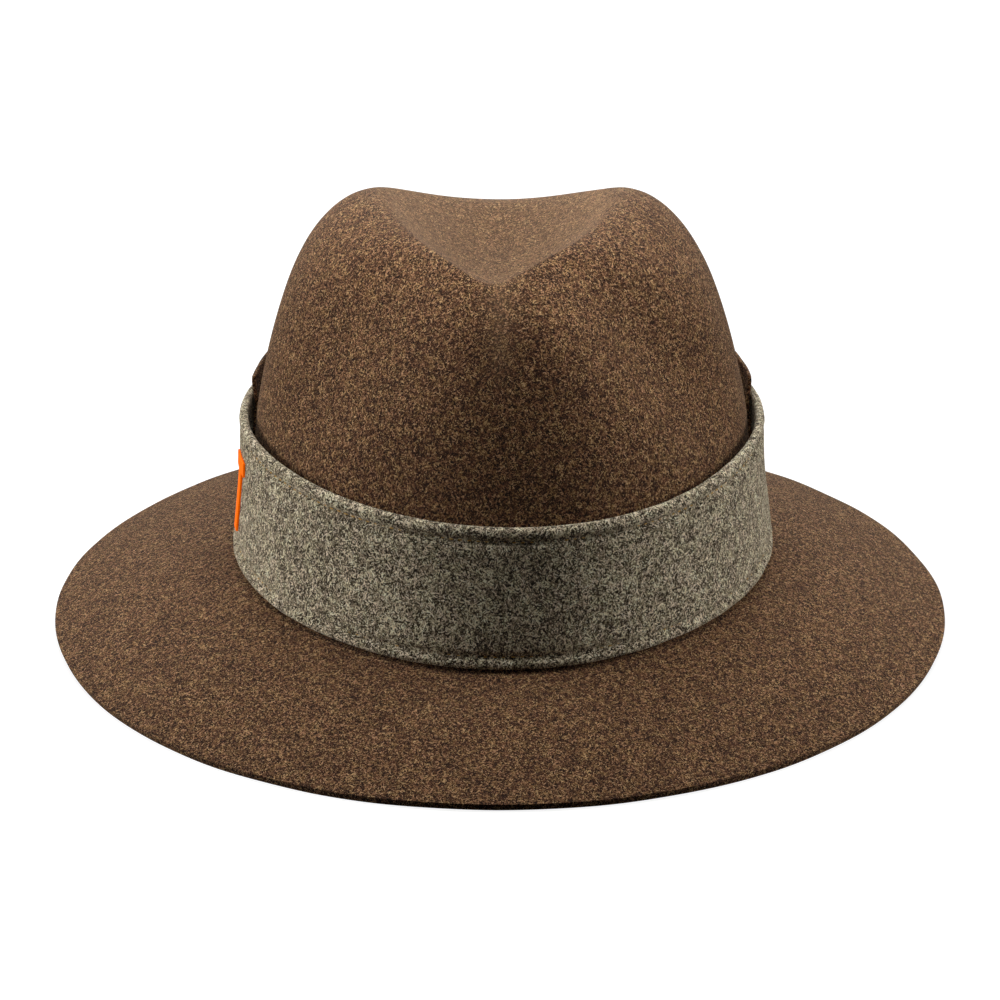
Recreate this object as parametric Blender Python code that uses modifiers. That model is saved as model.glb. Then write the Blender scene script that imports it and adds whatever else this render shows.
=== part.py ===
# Hunting hat: crown and brim blocked from one wool felt, a wide cloth band round the crown's foot,
# a felt neck flap that stands between the crown and the band, and a small signal tab on the band.
# Metres, +Z up. The front faces -Y, and the brim's edge rests on Z = 0.

import math
from collections import namedtuple

import bpy

# Felt of the crown and brim
FELT = 0.0025
BRIM_WIDTH = 0.302
BRIM_LENGTH = 0.334
HEAD_WIDTH = 0.167
HEAD_LENGTH = 0.201
HEAD_SHIFT = 0.0010
CROWN_RISE = 0.1190
BRIM_DROP_FRONT = 0.0195
BRIM_DROP_SIDE = 0.0235
BRIM_DROP_BACK = 0.0205
BRIM_BULGE = 0.0015
BRIM_EGG = 0.010
REST_STRIP = 0.0015

# Dent in the crown's top, and the nose at its front
DENT_DEPTH = 0.0240
FRONT_DIP = 0.0014
NOTCH_DIP = 0.0036
BACK_FALL = 0.0186
BACK_ROUNDING = 2.3
NOSE_SWING = 0.0045
NOSE_ROUNDING = 0.36

# Band, neck flap and tab
SEAM_GAP = 0.0004
BAND = 0.0024
BAND_HEIGHT = 0.0470
BAND_FRONT_GAP = 0.0010
BAND_FLARE = 0.0008
FLAP = 0.0012
FLAP_STANDOFF = 0.0007
FLAP_LEAN = 0.0020
FLAP_SHOW = 0.0070
FLAP_RISE = 0.0020
FLAP_START = math.radians(97.0)
FLAP_RISE_TURN = math.radians(15.0)
TAB = 0.0010
TAB_HEIGHT = 0.0257
TAB_HEAD_HEIGHT = 0.0050
TAB_HEAD_WIDTH = 0.0140
TAB_TAIL_WIDTH = 0.0050
TAB_DROP = 0.0105
TAB_ANGLE = math.radians(-80.0)

# How finely the soft forms are divided
SEGMENTS = 56
BRIM_RINGS = 5
RINGS_PER_ROW = 2

# The crown's outer wall, from the brim's join up to the crest round the dent. Height is a share of the
# wall's height there, width, front and back are shares of the head's outer half sizes, taper draws the
# front of the section in to a nose, swing is a share of the nose's swing to the side, and hollow is a
# share of each side hollow's depth.
Section = namedtuple("Section", "height width front back taper swing hollow")
CROWN = [
    Section(0.000, 1.005, 1.004, 1.004, 0.00, 0.00, 0.00),
    Section(0.060, 1.000, 1.000, 1.000, 0.00, 0.10, 0.00),
    Section(0.220, 0.977, 0.980, 0.988, 0.00, 0.50, 0.00),
    Section(0.400, 0.954, 0.950, 0.966, 0.00, 0.90, 0.15),
    Section(0.560, 0.914, 0.908, 0.936, 0.03, 1.00, 0.60),
    Section(0.700, 0.857, 0.862, 0.898, 0.09, 0.95, 0.95),
    Section(0.810, 0.796, 0.820, 0.855, 0.18, 0.80, 1.00),
    Section(0.890, 0.729, 0.782, 0.805, 0.30, 0.50, 0.90),
    Section(0.945, 0.655, 0.738, 0.748, 0.43, 0.15, 0.70),
    Section(0.980, 0.580, 0.694, 0.680, 0.56, -0.20, 0.45),
    Section(0.996, 0.517, 0.668, 0.622, 0.67, -0.40, 0.25),
    Section(1.000, 0.470, 0.648, 0.575, 0.74, -0.50, 0.10),
]

# The dent inside that crest, whose sections turn from the crest's teardrop into a plain oval trough.
# Depth is a share of the dent's depth below the crest there.
Step = namedtuple("Step", "depth width front back taper swing")
DENT = [
    Step(0.05, 0.432, 0.628, 0.537, 0.71, -0.50),
    Step(0.16, 0.385, 0.594, 0.490, 0.64, -0.45),
    Step(0.34, 0.326, 0.530, 0.428, 0.54, -0.40),
    Step(0.56, 0.252, 0.415, 0.345, 0.40, -0.30),
    Step(0.78, 0.178, 0.310, 0.255, 0.25, -0.20),
    Step(0.93, 0.095, 0.175, 0.140, 0.10, -0.10),
]

# The hollows pinched into the crown beside the nose. Angles are turned from the front towards +X, and
# drift is how much further round a hollow lies at the wall's foot than at the crest.
Hollow = namedtuple("Hollow", "angle drift spread depth")
HOLLOWS = [
    Hollow(math.radians(37.0), math.radians(36.0), math.radians(17.0), 0.0078),
    Hollow(math.radians(-42.0), math.radians(-25.0), math.radians(20.0), 0.0055),
]

# Sizes that follow from those above
HEAD_HALF_WIDTH = HEAD_WIDTH / 2 + FELT
HEAD_HALF_LENGTH = HEAD_LENGTH / 2 + FELT
CROWN_TOP = FELT + BRIM_DROP_SIDE + CROWN_RISE
DENT_FLOOR = CROWN_TOP - DENT_DEPTH
BAND_SIDE_GAP = FLAP_STANDOFF + FLAP + SEAM_GAP
GRID = [math.tau * step / SEGMENTS for step in range(SEGMENTS)]


def smoothstep(low, high, value):
    share = min(max((value - low) / (high - low), 0.0), 1.0)
    return share * share * (3 - 2 * share)


def section_at(position):
    """The crown's section at a position counted in rows, on a smooth curve that doesn't overshoot."""
    row = min(int(position), len(CROWN) - 2)
    share = position - row
    values = []
    for column in zip(*CROWN):
        steps = [after - before for before, after in zip(column, column[1:])]
        slopes = [steps[0]]
        for before, after in zip(steps, steps[1:]):
            turning = before * after <= 0
            slopes.append(0.0 if turning else 2 * before * after / (before + after))
        slopes.append(steps[-1])
        start, end = column[row], column[row + 1]
        bend = share * (1 - share) * ((1 - share) * slopes[row] - share * slopes[row + 1])
        values.append(start + (end - start) * smoothstep(0, 1, share) + bend)
    return Section(*values)


def nose(angle, taper):
    """How far a tapered section is drawn in at an angle, as a share that is 1 where it is widest."""
    def narrowing(turn):
        return math.hypot(math.sin(turn / 2), NOSE_ROUNDING) ** taper
    widest = max(math.sin(turn) * narrowing(turn) for turn in GRID[:SEGMENTS // 2])
    return narrowing(angle) / widest


def outline(section, angle):
    """A point of the crown's outline in plan, at an angle turned from the front towards +X."""
    ahead = math.cos(angle)
    x = section.width * HEAD_HALF_WIDTH * math.sin(angle) * nose(angle, section.taper)
    x += NOSE_SWING * section.swing * max(ahead, 0.0) ** 2
    y = -ahead * HEAD_HALF_LENGTH * (section.front if ahead > 0 else section.back)
    inward = 0.0
    for hollow in HOLLOWS:
        middle = hollow.angle + hollow.drift * (1 - section.height)
        away = math.remainder(angle - middle, math.tau) / hollow.spread
        inward += hollow.depth * section.hollow * math.exp(-away * away)
    keep = 1 - inward / math.hypot(x, y)
    return x * keep + HEAD_SHIFT * (1 - section.height), y * keep


def join_height(angle):
    """Height of the line where the crown meets the brim."""
    end = BRIM_DROP_FRONT if math.cos(angle) > 0 else BRIM_DROP_BACK
    return FELT + end + (BRIM_DROP_SIDE - end) * math.sin(angle) ** 2


def crest_height(angle):
    """Height of the crest round the dent, which dips to a notch in front and falls away to the back."""
    ahead = math.cos(angle)
    if ahead > 0:
        return CROWN_TOP - FRONT_DIP * ahead ** 2 - NOTCH_DIP * ahead ** 8
    return CROWN_TOP - BACK_FALL * (-ahead) ** BACK_ROUNDING


def crown_point(angle, position):
    section = section_at(position)
    x, y = outline(section, angle)
    low, high = join_height(angle), crest_height(angle)
    return x, y, low + (high - low) * section.height


def brim_point(angle, share):
    """A point of the brim's top, from the join at share 0 to the edge at share 1."""
    x, y, z = crown_point(angle, 0)
    edge_x = BRIM_WIDTH / 2 * math.sin(angle) * (1 + BRIM_EGG * math.cos(angle))
    edge_y = -BRIM_LENGTH / 2 * math.cos(angle)
    fall = (z - FELT) * share - BRIM_BULGE * math.sin(math.pi * share)
    return x + (edge_x - x) * share, y + (edge_y - y) * share, z - fall


def dent_point(angle, step):
    section = Section(1.0, step.width, step.front, step.back, step.taper, step.swing, 0.0)
    x, y = outline(section, angle)
    crest = crest_height(angle)
    return x, y, crest + (DENT_FLOOR - crest) * step.depth


def wall_point(angle, height, standoff):
    """A point that stands off the crown's wall, level with a height above the resting plane."""
    low, high = join_height(angle), crest_height(angle)
    below, above = 0.0, len(CROWN) - 1.0
    while above - below > 1e-6:
        middle = (below + above) / 2
        if low + (high - low) * section_at(middle).height < height:
            below = middle
        else:
            above = middle
    section = section_at(below)
    x, y = outline(section, angle)
    length = section.front if math.cos(angle) > 0 else section.back
    out_x = math.sin(angle) / (section.width * HEAD_HALF_WIDTH)
    out_y = -math.cos(angle) / (length * HEAD_HALF_LENGTH)
    reach = standoff / math.hypot(out_x, out_y)
    return x + out_x * reach, y + out_y * reach, height


def band_point(angle, share, outward):
    """A point on the band's outer face or outward of it, share 0 at its lower edge and 1 at its top."""
    turned = abs(math.remainder(angle, math.tau))
    opened = smoothstep(math.radians(25), math.radians(80), turned)
    gap = BAND_FRONT_GAP + (BAND_SIDE_GAP - BAND_FRONT_GAP) * opened
    flare = BAND_FLARE * smoothstep(0.6, 1.0, share)
    height = join_height(angle) + SEAM_GAP + BAND_HEIGHT * share
    return wall_point(angle, height, gap + flare + BAND + outward)


def new_piece(name, points, faces, colour, roughness):
    mesh = bpy.data.meshes.new(name)
    mesh.from_pydata(points, [], faces)
    mesh.validate()
    material = bpy.data.materials.new(name)
    material.use_nodes = True
    shader = material.node_tree.nodes["Principled BSDF"]
    shader.inputs["Base Color"].default_value = (*colour, 1.0)
    shader.inputs["Roughness"].default_value = roughness
    shader.inputs["Metallic"].default_value = 0.0
    mesh.materials.append(material)
    mesh.shade_smooth()
    piece = bpy.data.objects.new(name, mesh)
    hat.objects.link(piece)
    return piece


def strips(rows, closed):
    """Faces between rows of points, which face outward where the rows turn from the front to +X."""
    across = len(rows[0])
    faces = []
    for row in range(len(rows) - 1):
        for step in range(across if closed else across - 1):
            after = (step + 1) % across
            low, high = row * across, (row + 1) * across
            faces.append((low + step, low + after, high + after, high + step))
    return faces


def thicken(piece, thickness, offset):
    wall = piece.modifiers.new("Wall", "SOLIDIFY")
    wall.thickness = thickness
    wall.offset = offset
    wall.use_even_offset = True
    return wall


def make_felt_body():
    edge_step = REST_STRIP / ((BRIM_WIDTH - HEAD_WIDTH) / 2)
    brim_shares = [1.0, 1.0 - edge_step]
    brim_shares += [1.0 - (step + 1) / (BRIM_RINGS + 1) for step in range(BRIM_RINGS)]
    rows = [[brim_point(angle, share) for angle in GRID] for share in brim_shares]
    for ring in range((len(CROWN) - 1) * RINGS_PER_ROW + 1):
        rows.append([crown_point(angle, ring / RINGS_PER_ROW) for angle in GRID])
    for step in DENT:
        rows.append([dent_point(angle, step) for angle in GRID])
    points = [point for row in rows for point in row]
    faces = strips(rows, closed=True)
    last = len(points) - SEGMENTS
    points.append((0.0, 0.0, DENT_FLOOR))
    for step in range(SEGMENTS):
        faces.append((last + step, last + (step + 1) % SEGMENTS, len(points) - 1))
    body = new_piece("felt_body", points, faces, (0.13, 0.078, 0.042), 0.95)
    thicken(body, FELT, -1.0)
    press_flat(body)


def press_flat(body):
    """Gives the brim's lower edge the narrow level strip on which the felt rests."""
    bpy.context.view_layer.update()
    shell = body.evaluated_get(bpy.context.evaluated_depsgraph_get())
    mesh = bpy.data.meshes.new_from_object(shell)
    for vertex in mesh.vertices:
        if vertex.co.z < FELT / 2:
            vertex.co.z = 0.0
    body.modifiers.clear()
    body.data = mesh


def make_hat_band():
    shares = [0.0, 0.25, 0.5, 0.75, 1.0]
    rows = [[band_point(angle, share, 0.0) for angle in GRID] for share in shares]
    points = [point for row in rows for point in row]
    band = new_piece("hat_band", points, strips(rows, closed=True), (0.20, 0.185, 0.135), 0.95)
    thicken(band, BAND, -1.0)


def make_neck_flap():
    end = math.tau - FLAP_START
    turns = [FLAP_START] + [angle for angle in GRID if FLAP_START < angle < end] + [end]
    rows = []
    for share in [0.0, 0.25, 0.5, 0.75, 0.87, 0.94, 1.0]:
        standoff = FLAP_STANDOFF + FLAP_LEAN * smoothstep(0.8, 1.0, share)
        row = []
        for angle in turns:
            behind = abs(math.remainder(angle, math.tau)) - FLAP_START
            tall = BAND_HEIGHT + FLAP_SHOW + FLAP_RISE * smoothstep(0.0, FLAP_RISE_TURN, behind)
            height = join_height(angle) + SEAM_GAP + tall * share
            row.append(wall_point(angle, height, standoff + FLAP))
        rows.append(row)
    points = [point for row in rows for point in row]
    flap = new_piece("neck_flap", points, strips(rows, closed=False), (0.11, 0.065, 0.035), 0.95)
    thicken(flap, FLAP, -1.0)


def make_signal_tab():
    head, tail = TAB_HEAD_WIDTH / 2, TAB_TAIL_WIDTH / 2
    across = [-head, -tail, 0.0, tail, head]
    top = BAND_HEIGHT - TAB_DROP
    neck = top - TAB_HEAD_HEIGHT
    levels = [top - TAB_HEIGHT, (top - TAB_HEIGHT + neck) / 2, neck, top]
    rows = []
    for level in levels:
        turned = [TAB_ANGLE + along / HEAD_HALF_LENGTH for along in across]
        rows.append([band_point(angle, level / BAND_HEIGHT, SEAM_GAP) for angle in turned])
    faces = strips(rows, closed=False)
    columns = len(across) - 1
    tail_faces = [face for row in range(2) for face in faces[row * columns + 1:(row + 1) * columns - 1]]
    head_faces = faces[2 * columns:]
    points = [point for row in rows for point in row]
    used = sorted({corner for face in tail_faces + head_faces for corner in face})
    kept = [tuple(used.index(corner) for corner in face) for face in tail_faces + head_faces]
    tab = new_piece("signal_tab", [points[corner] for corner in used], kept, (1.0, 0.13, 0.01), 0.5)
    thicken(tab, TAB, 1.0)


for leftover in list(bpy.data.objects):
    bpy.data.objects.remove(leftover, do_unlink=True)
hat = bpy.data.collections.new("hunting_hat")
bpy.context.scene.collection.children.link(hat)
make_felt_body()
make_hat_band()
make_neck_flap()
make_signal_tab()
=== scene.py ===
import math
from bisect import bisect
from collections import namedtuple

import bpy
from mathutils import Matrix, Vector, noise


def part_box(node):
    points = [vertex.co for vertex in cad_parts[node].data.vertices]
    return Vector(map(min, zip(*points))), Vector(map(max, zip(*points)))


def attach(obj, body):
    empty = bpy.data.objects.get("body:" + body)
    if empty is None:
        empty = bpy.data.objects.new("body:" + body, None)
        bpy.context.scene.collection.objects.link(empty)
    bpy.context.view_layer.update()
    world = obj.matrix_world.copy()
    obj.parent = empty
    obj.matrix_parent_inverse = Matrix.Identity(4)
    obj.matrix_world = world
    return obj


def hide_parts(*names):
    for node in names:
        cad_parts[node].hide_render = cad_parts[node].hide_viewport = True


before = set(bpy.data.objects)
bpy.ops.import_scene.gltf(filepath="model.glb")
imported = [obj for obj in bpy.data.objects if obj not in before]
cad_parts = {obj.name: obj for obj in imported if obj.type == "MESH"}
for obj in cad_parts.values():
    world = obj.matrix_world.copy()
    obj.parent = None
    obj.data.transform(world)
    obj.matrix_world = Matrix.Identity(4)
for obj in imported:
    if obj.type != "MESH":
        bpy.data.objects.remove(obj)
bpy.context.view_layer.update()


# The felt body: crown and brim are blocked and pressed from one cone of brown mottled wool felt, about
# 2.5 mm thick. The top is pushed in to a teardrop dent, the front is pinched to a nose between two
# hollows, and the brim is ironed down all round and left with a raw cut edge.
FELT = 0.0025
felt_low, felt_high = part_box("felt_body")
BRIM_HALF_WIDTH = (felt_high.x - felt_low.x) / 2
BRIM_HALF_LENGTH = (felt_high.y - felt_low.y) / 2
CROWN_TOP = felt_high.z
HEAD_HALF_WIDTH = 0.086
HEAD_HALF_LENGTH = 0.103
BRIM_DROP_FRONT = 0.0195
BRIM_DROP_SIDE = 0.0235
BRIM_DROP_BACK = 0.0205
BRIM_BULGE = 0.0015
BRIM_EGG = 0.010
HEAD_SHIFT = 0.0010
DENT_FLOOR = CROWN_TOP - 0.0240
FRONT_DIP = 0.0014
NOTCH_DIP = 0.0036
BACK_FALL = 0.0186
BACK_ROUNDING = 2.3
NOSE_SWING = 0.0045
NOSE_ROUNDING = 0.36
CUT_EDGE_ROUNDING = 0.0010
CUT_EDGE_ANGLE = math.radians(50)

# Rows of the crown and the dent, from the brim's join over the crest to the middle of the dent's floor.
# Height is a share of the wall, depth a share of the dent, width, front and back are shares of the head's
# outer half sizes, taper draws the front in to a nose, swing is a share of the nose's swing to the side,
# and hollow is a share of each side hollow.
Row = namedtuple("Row", "height depth width front back taper swing hollow")
CROWN = [
    Row(0.000, 0.00, 1.005, 1.004, 1.004, 0.00, 0.00, 0.00),
    Row(0.060, 0.00, 1.000, 1.000, 1.000, 0.00, 0.10, 0.00),
    Row(0.220, 0.00, 0.977, 0.980, 0.988, 0.00, 0.50, 0.00),
    Row(0.400, 0.00, 0.954, 0.950, 0.966, 0.00, 0.90, 0.15),
    Row(0.560, 0.00, 0.914, 0.908, 0.936, 0.03, 1.00, 0.60),
    Row(0.700, 0.00, 0.857, 0.862, 0.898, 0.09, 0.95, 0.95),
    Row(0.810, 0.00, 0.796, 0.820, 0.855, 0.18, 0.80, 1.00),
    Row(0.890, 0.00, 0.729, 0.782, 0.805, 0.30, 0.50, 0.90),
    Row(0.945, 0.00, 0.655, 0.738, 0.748, 0.43, 0.15, 0.70),
    Row(0.980, 0.00, 0.580, 0.694, 0.680, 0.56, -0.20, 0.45),
    Row(0.996, 0.00, 0.517, 0.668, 0.622, 0.67, -0.40, 0.25),
    Row(1.000, 0.00, 0.470, 0.648, 0.575, 0.74, -0.50, 0.10),
    Row(1.000, 0.05, 0.432, 0.628, 0.537, 0.71, -0.50, 0.00),
    Row(1.000, 0.16, 0.385, 0.594, 0.490, 0.64, -0.45, 0.00),
    Row(1.000, 0.34, 0.326, 0.530, 0.428, 0.54, -0.40, 0.00),
    Row(1.000, 0.56, 0.252, 0.415, 0.345, 0.40, -0.30, 0.00),
    Row(1.000, 0.78, 0.178, 0.310, 0.255, 0.25, -0.20, 0.00),
    Row(1.000, 0.93, 0.095, 0.175, 0.140, 0.10, -0.10, 0.00),
    Row(1.000, 1.00, 0.006, 0.010, 0.009, 0.00, 0.00, 0.00),
]
CREST = 11

# Angles are turned from the front towards +X, and drift is how much further round a hollow lies at the
# wall's foot than at the crest.
Hollow = namedtuple("Hollow", "angle drift spread depth")
HOLLOWS = [
    Hollow(math.radians(37.0), math.radians(36.0), math.radians(17.0), 0.0078),
    Hollow(math.radians(-42.0), math.radians(-25.0), math.radians(20.0), 0.0055),
]
FELT_TURNS = 216
FELT_RINGS_PER_ROW = 6
BRIM_RINGS = 30
HAND_SIZE = 0.028
HAND_DEPTH = 0.0004


def smoothstep(low, high, value):
    share = min(max((value - low) / (high - low), 0.0), 1.0)
    return share * share * (3 - 2 * share)


def row_at(position):
    """The felt's row at a position counted in rows, on a smooth curve that doesn't overshoot."""
    row = min(int(position), len(CROWN) - 2)
    share = position - row
    values = []
    for column in zip(*CROWN):
        steps = [after - before for before, after in zip(column, column[1:])]
        slopes = [steps[0]]
        for before, after in zip(steps, steps[1:]):
            turning = before * after <= 0
            slopes.append(0.0 if turning else 2 * before * after / (before + after))
        slopes.append(steps[-1])
        start, end = column[row], column[row + 1]
        bend = share * (1 - share) * ((1 - share) * slopes[row] - share * slopes[row + 1])
        values.append(start + (end - start) * smoothstep(0, 1, share) + bend)
    return Row(*values)


def narrowing(angle, taper):
    return math.hypot(math.sin(angle / 2), NOSE_ROUNDING) ** taper


def widest_part(taper):
    return max(math.sin(turn) * narrowing(turn, taper) for turn in map(math.radians, range(60, 151, 2)))


def outline(row, widest, angle):
    """A point of the crown's outline in plan, at an angle turned from the front towards +X."""
    ahead = math.cos(angle)
    x = row.width * HEAD_HALF_WIDTH * math.sin(angle) * narrowing(angle, row.taper) / widest
    x += NOSE_SWING * row.swing * max(ahead, 0.0) ** 2
    y = -ahead * HEAD_HALF_LENGTH * (row.front if ahead > 0 else row.back)
    inward = 0.0
    for hollow in HOLLOWS:
        middle = hollow.angle + hollow.drift * (1 - row.height)
        away = math.remainder(angle - middle, math.tau) / hollow.spread
        inward += hollow.depth * row.hollow * math.exp(-away * away)
    keep = 1 - inward / max(math.hypot(x, y), inward + FELT)
    return x * keep + HEAD_SHIFT * (1 - row.height), y * keep


def join_height(angle):
    """Height of the line where the crown meets the brim."""
    end = BRIM_DROP_FRONT if math.cos(angle) > 0 else BRIM_DROP_BACK
    return FELT + end + (BRIM_DROP_SIDE - end) * math.sin(angle) ** 2


def crest_height(angle):
    """Height of the crest round the dent, which dips to a notch in front and falls away to the back."""
    ahead = math.cos(angle)
    if ahead > 0:
        return CROWN_TOP - FRONT_DIP * ahead ** 2 - NOTCH_DIP * ahead ** 8
    return CROWN_TOP - BACK_FALL * (-ahead) ** BACK_ROUNDING


def crown_point(row, widest, angle):
    x, y = outline(row, widest, angle)
    low, high = join_height(angle), crest_height(angle)
    wall = low + (high - low) * row.height
    return Vector((x, y, wall + (DENT_FLOOR - high) * row.depth))


def brim_point(join, angle, share):
    """A point of the brim's top, from the join at share 0 to the edge at share 1."""
    edge_x = BRIM_HALF_WIDTH * math.sin(angle) * (1 + BRIM_EGG * math.cos(angle))
    edge_y = -BRIM_HALF_LENGTH * math.cos(angle)
    fall = (join.z - FELT) * share - BRIM_BULGE * math.sin(math.pi * share)
    return Vector((join.x + (edge_x - join.x) * share, join.y + (edge_y - join.y) * share, join.z - fall))


def turns_round(count):
    return [math.tau * step / count for step in range(count)]


def strips(rows, closed):
    """Faces between rows of points, which face outward where the rows turn from the front to +X."""
    across = len(rows[0])
    faces = []
    for row in range(len(rows) - 1):
        for step in range(across if closed else across - 1):
            after = (step + 1) % across
            low, high = row * across, (row + 1) * across
            faces.append((low + step, low + after, high + after, high + step))
    return faces


def new_piece(name, rows, faces):
    mesh = bpy.data.meshes.new(name)
    mesh.from_pydata([point for row in rows for point in row], [], faces)
    mesh.shade_smooth()
    piece = bpy.data.objects.new(name, mesh)
    bpy.context.scene.collection.objects.link(piece)
    return piece


def press_by_hand(piece, size, depth):
    """The slight unevenness that cloth keeps from being pressed and sewn by hand."""
    outward = [vertex.normal.copy() for vertex in piece.data.vertices]
    for vertex, normal in zip(piece.data.vertices, outward):
        vertex.co += normal * depth * noise.noise(vertex.co / size)


def thicken(piece, thickness, rounding):
    """Gives a surface its cloth's thickness inward, with cut edges that are rounded a little."""
    wall = piece.modifiers.new("Thickness", "SOLIDIFY")
    wall.thickness = thickness
    wall.offset = -1.0
    wall.use_even_offset = True
    edge = piece.modifiers.new("Cut edge", "BEVEL")
    edge.width = rounding
    edge.segments = 3
    edge.limit_method = "ANGLE"
    edge.angle_limit = CUT_EDGE_ANGLE
    bpy.context.view_layer.update()
    solid = piece.evaluated_get(bpy.context.evaluated_depsgraph_get())
    mesh = bpy.data.meshes.new_from_object(solid)
    piece.modifiers.clear()
    piece.data = mesh
    mesh.shade_smooth()


class Wire:
    """One socket of a material's nodes. Sums of wires add the Math nodes that work them out."""

    def __init__(self, tree, socket=None):
        self.tree = tree
        self.socket = socket

    def node(self, kind, settings, sockets, output=0):
        """A new node: its settings first, then the values of its sockets or the wires to them."""
        made = self.tree.nodes.new(kind)
        for name, value in settings.items():
            if name == "stops":
                set_stops(made.color_ramp, value)
            else:
                setattr(made, name, value)
        for name, value in sockets.items():
            if isinstance(value, Wire):
                self.tree.links.new(value.socket, made.inputs[name])
            else:
                made.inputs[name].default_value = value
        return Wire(self.tree, made.outputs[output])

    def output(self, name):
        """Another output of the node that this wire comes from."""
        return Wire(self.tree, self.socket.node.outputs[name])

    def maths(self, operation, *values):
        return self.node("ShaderNodeMath", {"operation": operation}, dict(enumerate(values)))

    def vector(self, operation, *values):
        output = "Value" if operation in ("DOT_PRODUCT", "LENGTH") else "Vector"
        return self.node("ShaderNodeVectorMath", {"operation": operation}, dict(enumerate(values)), output)

    def __add__(self, other):
        return self.maths("ADD", self, other)

    def __radd__(self, other):
        return self.maths("ADD", other, self)

    def __sub__(self, other):
        return self.maths("SUBTRACT", self, other)

    def __rsub__(self, other):
        return self.maths("SUBTRACT", other, self)

    def __mul__(self, other):
        return self.maths("MULTIPLY", self, other)

    def __rmul__(self, other):
        return self.maths("MULTIPLY", other, self)

    def __abs__(self):
        return self.maths("ABSOLUTE", self)

    def rise(self, low, high):
        """0 below low and 1 above high, with a smooth rise between. With low above high it falls."""
        sockets = {"Value": self, "From Min": low, "From Max": high}
        return self.node("ShaderNodeMapRange", {"interpolation_type": "SMOOTHSTEP"}, sockets)

    def over(self, below, mask):
        """This number laid over the one below where the mask is 1."""
        return below + (self - below) * mask

    def noise(self, size, detail=2.0, shift=0.0):
        """Smooth noise of about 0 to 1 in metres-wide patches, with this wire as the place."""
        place = self.vector("ADD", self, (shift, shift, shift))
        return self.node("ShaderNodeTexNoise", {}, {"Vector": place, "Scale": 1 / size, "Detail": detail})


def set_stops(ramp, stops):
    """Each stop is a place from 0 to 1 and a colour in linear red, green and blue."""
    while len(ramp.elements) < len(stops):
        ramp.elements.new(1.0)
    for element, (place, colour) in zip(ramp.elements, stops):
        element.position = place
        element.color = (*colour, 1.0)


def blend(share, first, second):
    """A colour between two, by a share from 0 to 1."""
    sockets = {0: share, 6: first, 7: second}
    return share.node("ShaderNodeMix", {"data_type": "RGBA"}, sockets, 2)


def blend_over(colour, tint):
    """The colour multiplied by a tint."""
    sockets = {0: 1.0, 6: colour, 7: (*tint, 1.0)}
    return colour.node("ShaderNodeMix", {"data_type": "RGBA", "blend_type": "MULTIPLY"}, sockets, 2)


def new_finish(name):
    """A new material, and a wire that carries the place on the piece in metres."""
    material = bpy.data.materials.new(name)
    material.use_nodes = True
    place = Wire(material.node_tree).node("ShaderNodeTexCoord", {}, {}, "Object")
    return material, place


def dress(material, colour, relief, strength, depth, constants):
    """Gives a material its colour, the relief of its threads, and the constants of its shader."""
    shader = material.node_tree.nodes["Principled BSDF"]
    sockets = {"Height": relief, "Strength": strength, "Distance": depth}
    bump = relief.node("ShaderNodeBump", {}, sockets, "Normal")
    material.node_tree.links.new(colour.socket, shader.inputs["Base Color"])
    material.node_tree.links.new(bump.socket, shader.inputs["Normal"])
    for name, value in constants.items():
        shader.inputs[name].default_value = value


Fibres = namedtuple("Fibres", "length width shift")
FIBRE_EDGE = 0.2
GROUND_GRAIN = 0.0006
NOISE_SPREAD = (0.34, 0.66)
RELIEF_STRENGTH = 0.8


def lay_fibres(place, upright, fibres, tone):
    """Lays short straight fibres flat on the surface at random angles, each with a tone of its own."""
    scaled = place.vector("MULTIPLY_ADD", place, (1 / fibres.length,) * 3, (fibres.shift,) * 3)
    cell = place.node("ShaderNodeTexVoronoi", {}, {"Vector": scaled, "Scale": 1.0}, "Color")
    along = cell.vector("SUBTRACT", cell, (0.5, 0.5, 0.5))
    across = cell.vector("NORMALIZE", cell.vector("CROSS_PRODUCT", upright, along))
    from_middle = cell.vector("SUBTRACT", scaled, cell.output("Position"))
    aside = abs(cell.vector("DOT_PRODUCT", from_middle, across))
    half = fibres.width / fibres.length / 2
    mask = aside.rise(half * (1 + FIBRE_EDGE), half * (1 - FIBRE_EDGE))
    own_tone = cell.node("ShaderNodeTexWhiteNoise", {}, {"Vector": cell.output("Position")}, "Value")
    return own_tone.over(tone, mask)


def wool(name, layers, shades, tint, patch, depth, sheen):
    """Matted wool: layers of fibres over a soft ground, coloured by tone and mottled in patches."""
    material, place = new_finish(name)
    upright = place.node("ShaderNodeNewGeometry", {}, {}, "Normal")
    tone = place.noise(GROUND_GRAIN, 2.0).rise(*NOISE_SPREAD)
    for fibres in layers:
        tone = lay_fibres(place, upright, fibres, tone)
    mottle = place.noise(patch, 2.0, 0.7).rise(*NOISE_SPREAD)
    cloud = place.noise(patch * 4, 2.0, 1.9)
    shown = tone * 0.92 + mottle * 0.07 + cloud * 0.07 - 0.05
    colour = shown.node("ShaderNodeValToRGB", {"stops": shades}, {"Fac": shown})
    colour = blend(mottle, colour, blend_over(colour, tint))
    dress(material, colour, tone, RELIEF_STRENGTH, depth, {
        "Roughness": 0.92,
        "Specular IOR Level": 0.18,
        "Sheen Weight": sheen,
        "Sheen Roughness": 0.5,
        "Sheen Tint": (1.0, 0.86, 0.70, 1.0),
    })
    return material


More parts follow.
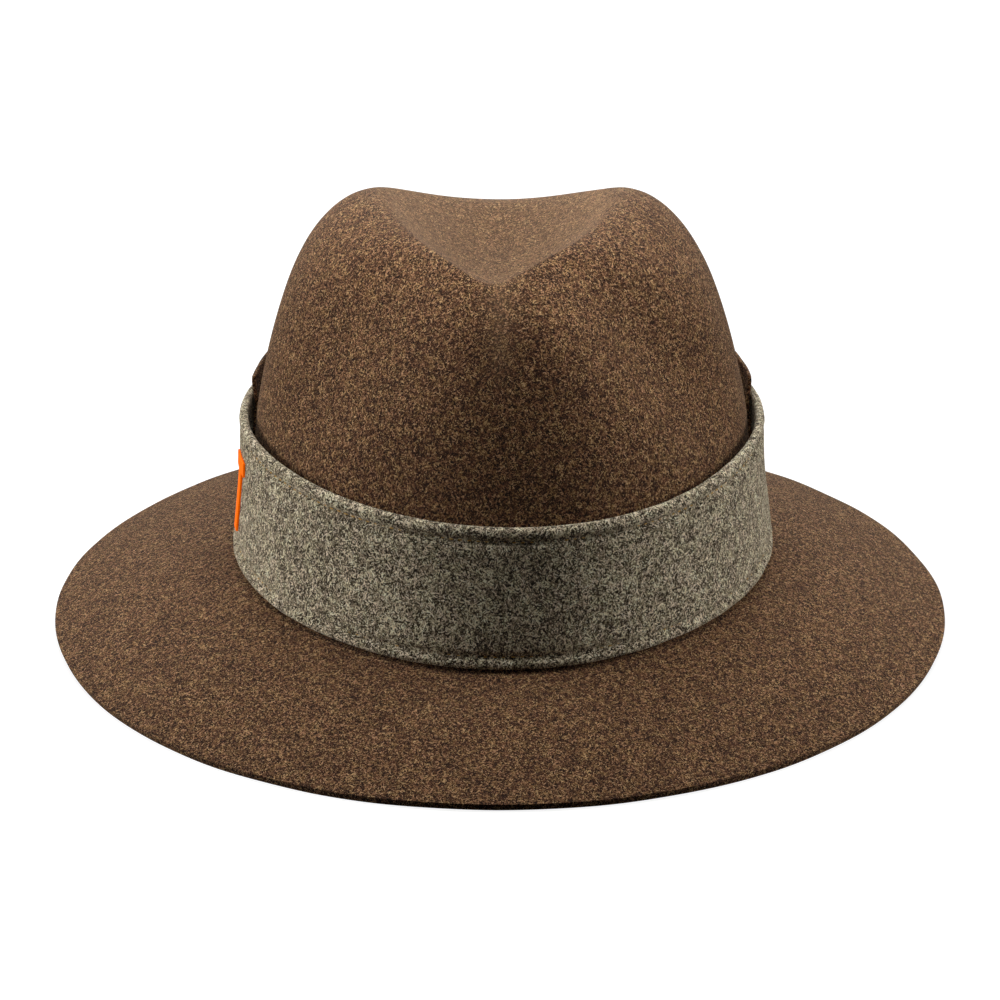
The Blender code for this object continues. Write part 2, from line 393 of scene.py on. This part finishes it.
FELT_FIBRES = [
    Fibres(0.00095, 0.00024, 3.1),
    Fibres(0.00077, 0.00023, 7.7),
    Fibres(0.00108, 0.00024, 12.3),
    Fibres(0.00086, 0.00022, 17.9),
]
FELT_SHADES = [
    (0.00, (0.005, 0.0018, 0.0010)),
    (0.32, (0.024, 0.0080, 0.0034)),
    (0.60, (0.129, 0.052, 0.023)),
    (0.83, (0.410, 0.208, 0.102)),
    (1.00, (0.810, 0.505, 0.285)),
]
OLIVE_TINT = (0.92, 1.0, 0.84)
FELT_PATCH = 0.0024
FELT_RELIEF = 0.0008
FELT_SHEEN = 0.05
FELT_FINISH = (FELT_SHADES, OLIVE_TINT, FELT_PATCH, FELT_RELIEF, FELT_SHEEN)
brown_felt = wool("Brown mottled felt", FELT_FIBRES, *FELT_FINISH)

# Painted highlight: round the dent and its front notch, the felt's colour is blended towards a pale tan. It
# stands in for the top light that falls into the dent.
DENT_HIGHLIGHT_WIDTH = 0.038
DENT_HIGHLIGHT_FRONT = -0.071
DENT_HIGHLIGHT_LENGTH = 0.085
DENT_HIGHLIGHT_SIDES = (-0.010, 0.006)
DENT_HIGHLIGHT_HEIGHTS = (0.106, 0.124)
DENT_HIGHLIGHT_SHARE = 0.15
DENT_HIGHLIGHT_COLOUR = (0.560, 0.360, 0.210, 1.0)
felt_nodes = brown_felt.node_tree
place = Wire(felt_nodes).node("ShaderNodeTexCoord", {}, {}, "Object")
along = place.node("ShaderNodeSeparateXYZ", {}, {"Vector": place}, "Y")
half_width = along.rise(DENT_HIGHLIGHT_FRONT, DENT_HIGHLIGHT_FRONT + DENT_HIGHLIGHT_LENGTH) * DENT_HIGHLIGHT_WIDTH
painted_dent_highlight = (half_width - abs(along.output("X"))).rise(*DENT_HIGHLIGHT_SIDES) * along.output("Z").rise(*DENT_HIGHLIGHT_HEIGHTS)
base = felt_nodes.nodes["Principled BSDF"].inputs["Base Color"]
# Inside the mask, the felt's colour is blended towards the pale tan of the painted highlight.
colour = blend(painted_dent_highlight * DENT_HIGHLIGHT_SHARE, Wire(felt_nodes, base.links[0].from_socket), DENT_HIGHLIGHT_COLOUR)
felt_nodes.links.new(colour.socket, base)

rows = []
join = [crown_point(CROWN[0], widest_part(0.0), angle) for angle in turns_round(FELT_TURNS)]
for ring in range(BRIM_RINGS):
    share = 1 - ring / BRIM_RINGS
    rows.append([brim_point(join[step], angle, share) for step, angle in enumerate(turns_round(FELT_TURNS))])
for ring in range((len(CROWN) - 1) * FELT_RINGS_PER_ROW + 1):
    row = row_at(ring / FELT_RINGS_PER_ROW)
    widest = widest_part(row.taper)
    rows.append([crown_point(row, widest, angle) for angle in turns_round(FELT_TURNS)])
faces = strips(rows, closed=True)
first_of_last = (len(rows) - 1) * FELT_TURNS
faces.append(tuple(range(first_of_last, first_of_last + FELT_TURNS)))
felt = new_piece("felt_crown_and_brim", rows, faces)
press_by_hand(felt, HAND_SIZE, HAND_DEPTH)
thicken(felt, FELT, CUT_EDGE_ROUNDING)
felt.data.materials.append(brown_felt)
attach(felt, "root")
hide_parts("felt_body")


# The neck flap: a strip of thinner brown felt that stands between the crown and the band round the back
# half, and folds down over the neck in rain. Its two front ends are cut square and show above the band.
SEAM_GAP = 0.0004
BAND_HEIGHT = 0.0470
FLAP = 0.0012
FLAP_STANDOFF = 0.0007
FLAP_LEAN = 0.0020
FLAP_SHOW = 0.0070
FLAP_RISE = 0.0020
FLAP_RISE_TURN = math.radians(15.0)
FLAP_START = math.radians(97.0)
FLAP_STEPS = 150
FLAP_ROWS = 26
FLAP_EDGE_ROUNDING = 0.0003
FLAP_LEAN_FROM = 0.8
FLAP_WANDER = 0.0005
FLAP_SHIFT = 31.0

# The crown's wall, listed finely by height so that a row can be looked up for any height on it.
wall_rows = [row_at(step / 40) for step in range(CREST * 40 + 1)]
wall_heights = [row.height for row in wall_rows]
wall_widest = [widest_part(row.taper) for row in wall_rows]


def wall_point(angle, height, standoff):
    """A point that stands off the crown's wall, level with a height above the resting plane."""
    low, high = join_height(angle), crest_height(angle)
    share = (height - low) / (high - low)
    above = min(max(bisect(wall_heights, share), 1), len(wall_rows) - 1)
    below = above - 1
    between = (share - wall_heights[below]) / (wall_heights[above] - wall_heights[below])
    near = Vector(outline(wall_rows[below], wall_widest[below], angle))
    far = Vector(outline(wall_rows[above], wall_widest[above], angle))
    row = wall_rows[below]
    out = Vector((math.sin(angle) / (row.width * HEAD_HALF_WIDTH),
                  -math.cos(angle) / ((row.front if math.cos(angle) > 0 else row.back) * HEAD_HALF_LENGTH)))
    place = near.lerp(far, between) + out.normalized() * standoff
    return Vector((place.x, place.y, height))


rows = []
for ring in range(FLAP_ROWS + 1):
    share = ring / FLAP_ROWS
    leaning = smoothstep(FLAP_LEAN_FROM, 1.0, share)
    standoff = FLAP_STANDOFF + FLAP_LEAN * leaning + FLAP
    row = []
    for step in range(FLAP_STEPS + 1):
        angle = FLAP_START + (math.tau - 2 * FLAP_START) * step / FLAP_STEPS
        behind = abs(math.remainder(angle, math.tau)) - FLAP_START
        tall = BAND_HEIGHT + FLAP_SHOW + FLAP_RISE * smoothstep(0.0, FLAP_RISE_TURN, behind)
        height = join_height(angle) + SEAM_GAP + tall * share
        wander = FLAP_WANDER * leaning * noise.noise((angle * 6, share, 4.0))
        row.append(wall_point(angle, height + wander, standoff + abs(wander)))
    rows.append(row)
flap = new_piece("neck_flap_felt", rows, strips(rows, closed=False))
thicken(flap, FLAP, FLAP_EDGE_ROUNDING)
FLAP_FIBRES = [Fibres(fibres.length, fibres.width, fibres.shift + FLAP_SHIFT) for fibres in FELT_FIBRES]
flap_felt = wool("Thin brown felt", FLAP_FIBRES, *FELT_FINISH)
flap.data.materials.append(flap_felt)
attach(flap, "root")
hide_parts("neck_flap")


# The band: a wide strip of grey-green fulled wool cloth, turned over double and sewn round the crown's
# foot over the flap. A line of sunk stitches near each edge gives it a round hem above and below.
BAND = 0.0024
BAND_FRONT_GAP = 0.0010
BAND_SIDE_GAP = FLAP_STANDOFF + FLAP + SEAM_GAP
BAND_FLARE = 0.0008
BAND_FLARE_FROM = 0.6
BAND_OPENS_FROM = math.radians(25)
BAND_OPENS_TO = math.radians(80)
BAND_SWAY = 0.0003
BAND_TURNS = 300
BAND_FACE_STEPS = 64
BAND_BACK_STEPS = 12
BAND_CORNER_STEPS = 6
TOP_HEM = 0.0048
FOOT_HEM = 0.0042
HEM_FULLNESS = 0.0004
SEWN_DEPTH = 0.0011
SEWN_PULL = 0.35
SEWN_WIDTH = 0.0011
EDGE_ROUNDING = 0.0011

# Each hem's line of stitches, and the lengths up the band where the hem starts and ends.
HEMS = [
    (FOOT_HEM, 0.0, FOOT_HEM),
    (BAND_HEIGHT - TOP_HEM, BAND_HEIGHT - TOP_HEM, BAND_HEIGHT),
]


def band_stands_off(angle, up):
    """How far the band's outer face stands off the crown's wall, at a length up from its lower edge."""
    turned = abs(math.remainder(angle, math.tau))
    opened = smoothstep(BAND_OPENS_FROM, BAND_OPENS_TO, turned)
    gap = BAND_FRONT_GAP + (BAND_SIDE_GAP - BAND_FRONT_GAP) * opened
    return gap + BAND + BAND_FLARE * smoothstep(BAND_FLARE_FROM, 1.0, up / BAND_HEIGHT)


def sewn_relief(angle, up):
    """The swell of the hems and the groove that each line of stitches draws in."""
    relief = 0.0
    for line, hem_from, hem_to in HEMS:
        pull = 1 + SEWN_PULL * noise.noise((math.sin(angle) * 30, math.cos(angle) * 30, line * 1000))
        relief -= SEWN_DEPTH * pull * math.exp(-((up - line) / SEWN_WIDTH) ** 2)
        if hem_from < up < hem_to:
            relief += HEM_FULLNESS * math.sin(math.pi * (up - hem_from) / (hem_to - hem_from))
    return relief


def band_profile():
    """Places round the band's section, as a length up and a depth in from the outer face."""
    corner = []
    for step in range(BAND_CORNER_STEPS, -1, -1):
        turn = math.radians(90) * step / BAND_CORNER_STEPS
        corner.append((EDGE_ROUNDING * (1 - math.sin(turn)), EDGE_ROUNDING * (1 - math.cos(turn))))
    straight = BAND_HEIGHT - 2 * EDGE_ROUNDING
    face = [(EDGE_ROUNDING + straight * step / BAND_FACE_STEPS, 0.0) for step in range(BAND_FACE_STEPS + 1)]
    top = [(BAND_HEIGHT - up, inset) for up, inset in reversed(corner)]
    back_top = [(up, BAND - inset) for up, inset in reversed(top)]
    back = [(EDGE_ROUNDING + straight * step / BAND_BACK_STEPS, BAND) for step in range(BAND_BACK_STEPS + 1)]
    back.reverse()
    back_foot = [(up, BAND - inset) for up, inset in reversed(corner)]
    ring = []
    for place in corner[:-1] + face + top[1:] + back_top[:-1] + back + back_foot[1:]:
        if not ring or math.dist(place, ring[-1]) > 1e-6:
            ring.append(place)
    if math.dist(ring[0], ring[-1]) < 1e-6:
        ring.pop()
    return ring


rows = []
for up, inset in band_profile():
    row = []
    for angle in turns_round(BAND_TURNS):
        outer = band_stands_off(angle, up)
        sway = BAND_SWAY * noise.noise((math.sin(angle) * 9, math.cos(angle) * 9, up * 60))
        relief = (sewn_relief(angle, up) + sway) * (1 - inset / BAND)
        row.append(wall_point(angle, join_height(angle) + SEAM_GAP + up, outer + relief - inset))
    rows.append(row)
band_faces = strips(rows + [rows[0]], closed=True)
whole = len(rows) * BAND_TURNS
band_faces = [tuple(corner % whole for corner in face) for face in band_faces]
band = new_piece("hat_band_cloth", rows, band_faces)
BAND_FIBRES = [
    Fibres(0.00155, 0.00029, 5.3),
    Fibres(0.00120, 0.00028, 9.1),
    Fibres(0.00175, 0.00029, 14.9),
    Fibres(0.00135, 0.00027, 21.7),
]
BAND_SHADES = [
    (0.00, (0.007, 0.004, 0.002)),
    (0.33, (0.062, 0.045, 0.027)),
    (0.60, (0.430, 0.340, 0.232)),
    (0.81, (0.920, 0.775, 0.565)),
    (1.00, (0.980, 0.930, 0.800)),
]
SAGE_TINT = (0.94, 1.0, 0.92)
BAND_PATCH = 0.0036
BAND_RELIEF = 0.0009
BAND_SHEEN = 0.20
BAND_FINISH = (BAND_SHADES, SAGE_TINT, BAND_PATCH, BAND_RELIEF, BAND_SHEEN)
band_cloth = wool("Grey-green fulled wool", BAND_FIBRES, *BAND_FINISH)
band.data.materials.append(band_cloth)
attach(band, "root")
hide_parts("hat_band")


# The hems' stitches: two lines of short straight stitches in ochre sewing thread, which hold the turned
# edges of the band and lie sunk in the grooves that they draw in.
STITCHES = 190
STITCH_SHARE = 0.62
THREAD_RADIUS = 0.00023
THREAD_SIDES = 6
STITCH_TAPER = (0.35, 0.9, 1.0, 0.9, 0.35)
THREAD_GRAIN = 0.0002

stitch_points = []
stitch_faces = []
for line in (FOOT_HEM, BAND_HEIGHT - TOP_HEM):
    for number in range(STITCHES):
        first = len(stitch_points)
        last_ring = len(STITCH_TAPER) - 1
        for ring, thick in enumerate(STITCH_TAPER):
            angle = math.tau * (number + STITCH_SHARE * (ring / last_ring - 0.5)) / STITCHES
            middle = band_stands_off(angle, line) + sewn_relief(angle, line) - THREAD_RADIUS * (1.2 - thick)
            for turn in turns_round(THREAD_SIDES):
                up = line + THREAD_RADIUS * thick * math.sin(turn)
                out = middle + THREAD_RADIUS * thick * math.cos(turn)
                stitch_points.append(wall_point(angle, join_height(angle) + SEAM_GAP + up, out))
        for ring in range(last_ring):
            for side in range(THREAD_SIDES):
                after = (side + 1) % THREAD_SIDES
                low, high = first + ring * THREAD_SIDES, first + (ring + 1) * THREAD_SIDES
                stitch_faces.append((low + side, high + side, high + after, low + after))
        last = first + last_ring * THREAD_SIDES
        stitch_faces.append(tuple(range(first, first + THREAD_SIDES)))
        stitch_faces.append(tuple(reversed(range(last, last + THREAD_SIDES))))
stitching = new_piece("band_stitching", [stitch_points], stitch_faces)
ochre, place = new_finish("Ochre sewing thread")
twist = place.noise(THREAD_GRAIN, 1.0)
colour = blend(twist, (0.42, 0.23, 0.045, 1.0), (0.76, 0.46, 0.11, 1.0))
dress(ochre, colour, twist, 0.5, 0.00005, {"Roughness": 0.6})
stitching.data.materials.append(ochre)
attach(stitching, "root")


# The signal tab: a short strip of bright orange woven ribbon, cut to a T and sewn flat on the band's side,
# where it is seen from far off.
TAB = 0.0008
TAB_GAP = 0.0001
TAB_HEIGHT = 0.0257
TAB_HEAD_HEIGHT = 0.0050
TAB_HEAD_WIDTH = 0.0140
TAB_TAIL_WIDTH = 0.0050
TAB_DROP = 0.0105
TAB_ANGLE = math.radians(-80.0)
TAB_COLUMNS = 28
TAB_ROWS = 36
TAB_EDGE_ROUNDING = 0.0003
RIBBON_PITCH = 0.0008
RIBBON_PAINTED_GLOW = 0.35

rows = []
for ring in range(TAB_ROWS + 1):
    up = BAND_HEIGHT - TAB_DROP - TAB_HEIGHT * (1 - ring / TAB_ROWS)
    row = []
    for step in range(TAB_COLUMNS + 1):
        along = TAB_HEAD_WIDTH * (step / TAB_COLUMNS - 0.5)
        angle = TAB_ANGLE + along / HEAD_HALF_LENGTH
        standoff = band_stands_off(angle, up) + TAB_GAP + TAB
        row.append(wall_point(angle, join_height(angle) + SEAM_GAP + up, standoff))
    rows.append(row)
head_from = TAB_ROWS * (1 - TAB_HEAD_HEIGHT / TAB_HEIGHT)
tail_columns = TAB_COLUMNS * TAB_TAIL_WIDTH / TAB_HEAD_WIDTH / 2
tab_faces = []
for number, face in enumerate(strips(rows, closed=False)):
    ring, step = divmod(number, TAB_COLUMNS)
    if ring + 0.5 > head_from or abs(step + 0.5 - TAB_COLUMNS / 2) < tail_columns:
        tab_faces.append(face)
used = sorted({corner for face in tab_faces for corner in face})
fresh = {corner: number for number, corner in enumerate(used)}
points = [point for row in rows for point in row]
tab = new_piece("signal_tab_ribbon", [[points[corner] for corner in used]],
                [tuple(fresh[corner] for corner in face) for face in tab_faces])
thicken(tab, TAB, TAB_EDGE_ROUNDING)

ribbon, place = new_finish("Orange woven ribbon")
across = place.node("ShaderNodeSeparateXYZ", {}, {"Vector": place}, "Y")
weft = across.maths("SINE", across * (math.tau / RIBBON_PITCH))
warp = across.maths("SINE", across.output("Z") * (math.tau / RIBBON_PITCH))
weave = weft * warp
colour = blend(weave.rise(-1.0, 1.0), (0.90, 0.14, 0.002, 1.0), (1.0, 0.20, 0.004, 1.0))
# The ribbon's emission is a painted glow. It stands in for the extra brightness of the fluorescent orange
# dye.
dress(ribbon, colour, weave, 0.5, 0.0001, {
    "Roughness": 0.7,
    "Specular IOR Level": 0.1,
    "Emission Color": (1.0, 0.13, 0.0, 1.0),
    "Emission Strength": RIBBON_PAINTED_GLOW,
})
tab.data.materials.append(ribbon)
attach(tab, "root")
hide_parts("signal_tab")


# The studio: a plain pale floor, a wide soft box on each side and one behind, a small one close overhead,
# and a long lens that looks down on the hat from the front.
def soft_box(name, place, aim, width, length, power, colour):
    light = bpy.data.lights.new(name, "AREA")
    light.shape = "RECTANGLE"
    light.size = width
    light.size_y = length
    light.energy = power
    light.color = colour
    lamp = bpy.data.objects.new(name, light)
    lamp.location = place
    lamp.rotation_euler = (Vector(aim) - Vector(place)).to_track_quat("-Z", "Y").to_euler()
    bpy.context.scene.collection.objects.link(lamp)


HAT_MIDDLE = (0.0, 0.0, 0.06)
WARM_WHITE = (1.0, 0.98, 0.95)
WHITE = (1.0, 1.0, 1.0)
soft_box("Left box", (-1.19, 0.07, 0.22), HAT_MIDDLE, 0.8, 0.8, 16.3, WARM_WHITE)
soft_box("Right box", (1.19, 0.10, 0.22), HAT_MIDDLE, 0.8, 0.8, 12.4, WARM_WHITE)
soft_box("Back box", (0.0, 0.80, 0.45), HAT_MIDDLE, 0.8, 0.6, 4.4, WHITE)
soft_box("Top box", (0.0, -0.04, 0.40), HAT_MIDDLE, 0.32, 0.32, 1.25, WHITE)

WORLD_LIGHT = 0.024
world = bpy.data.worlds.new("Studio")
bpy.context.scene.world = world
world.use_nodes = True
world.node_tree.nodes["Background"].inputs["Color"].default_value = (*WHITE, 1.0)
world.node_tree.nodes["Background"].inputs["Strength"].default_value = WORLD_LIGHT

FLOOR_REACH = 12.0
FLOOR_GREY = 0.30
FLOOR_GLOW = 0.88
corners = [(-FLOOR_REACH, -FLOOR_REACH, 0), (FLOOR_REACH, -FLOOR_REACH, 0),
           (FLOOR_REACH, FLOOR_REACH, 0), (-FLOOR_REACH, FLOOR_REACH, 0)]
floor = new_piece("floor", [corners], [(0, 1, 2, 3)])
pale = bpy.data.materials.new("Pale floor")
pale.use_nodes = True
pale_shader = pale.node_tree.nodes["Principled BSDF"]
pale_shader.inputs["Base Color"].default_value = (FLOOR_GREY, FLOOR_GREY, FLOOR_GREY, 1.0)
pale_shader.inputs["Emission Color"].default_value = (*WHITE, 1.0)
pale_shader.inputs["Emission Strength"].default_value = FLOOR_GLOW
pale_shader.inputs["Roughness"].default_value = 0.9
pale_shader.inputs["Specular IOR Level"].default_value = 0.1
floor.data.materials.append(pale)
floor.visible_diffuse = False
floor.visible_glossy = False

CAMERA_DISTANCE = 1.80
CAMERA_ELEVATION = math.radians(20.4)
AIM_BELOW = 0.0185
LENS_LENGTH = 192.24
lens = bpy.data.cameras.new("Camera")
lens.sensor_width = 36.0
lens.lens = LENS_LENGTH
camera = bpy.data.objects.new("Camera", lens)
back = Vector((0.0, -math.cos(CAMERA_ELEVATION), math.sin(CAMERA_ELEVATION)))
above = Vector((0.0, math.sin(CAMERA_ELEVATION), math.cos(CAMERA_ELEVATION)))
camera.location = Vector(HAT_MIDDLE) + back * CAMERA_DISTANCE
aim = Vector(HAT_MIDDLE) - above * AIM_BELOW
camera.rotation_euler = (aim - camera.location).to_track_quat("-Z", "Y").to_euler()
bpy.context.scene.collection.objects.link(camera)
bpy.context.scene.camera = camera
bpy.context.scene.view_settings.view_transform = "Standard"
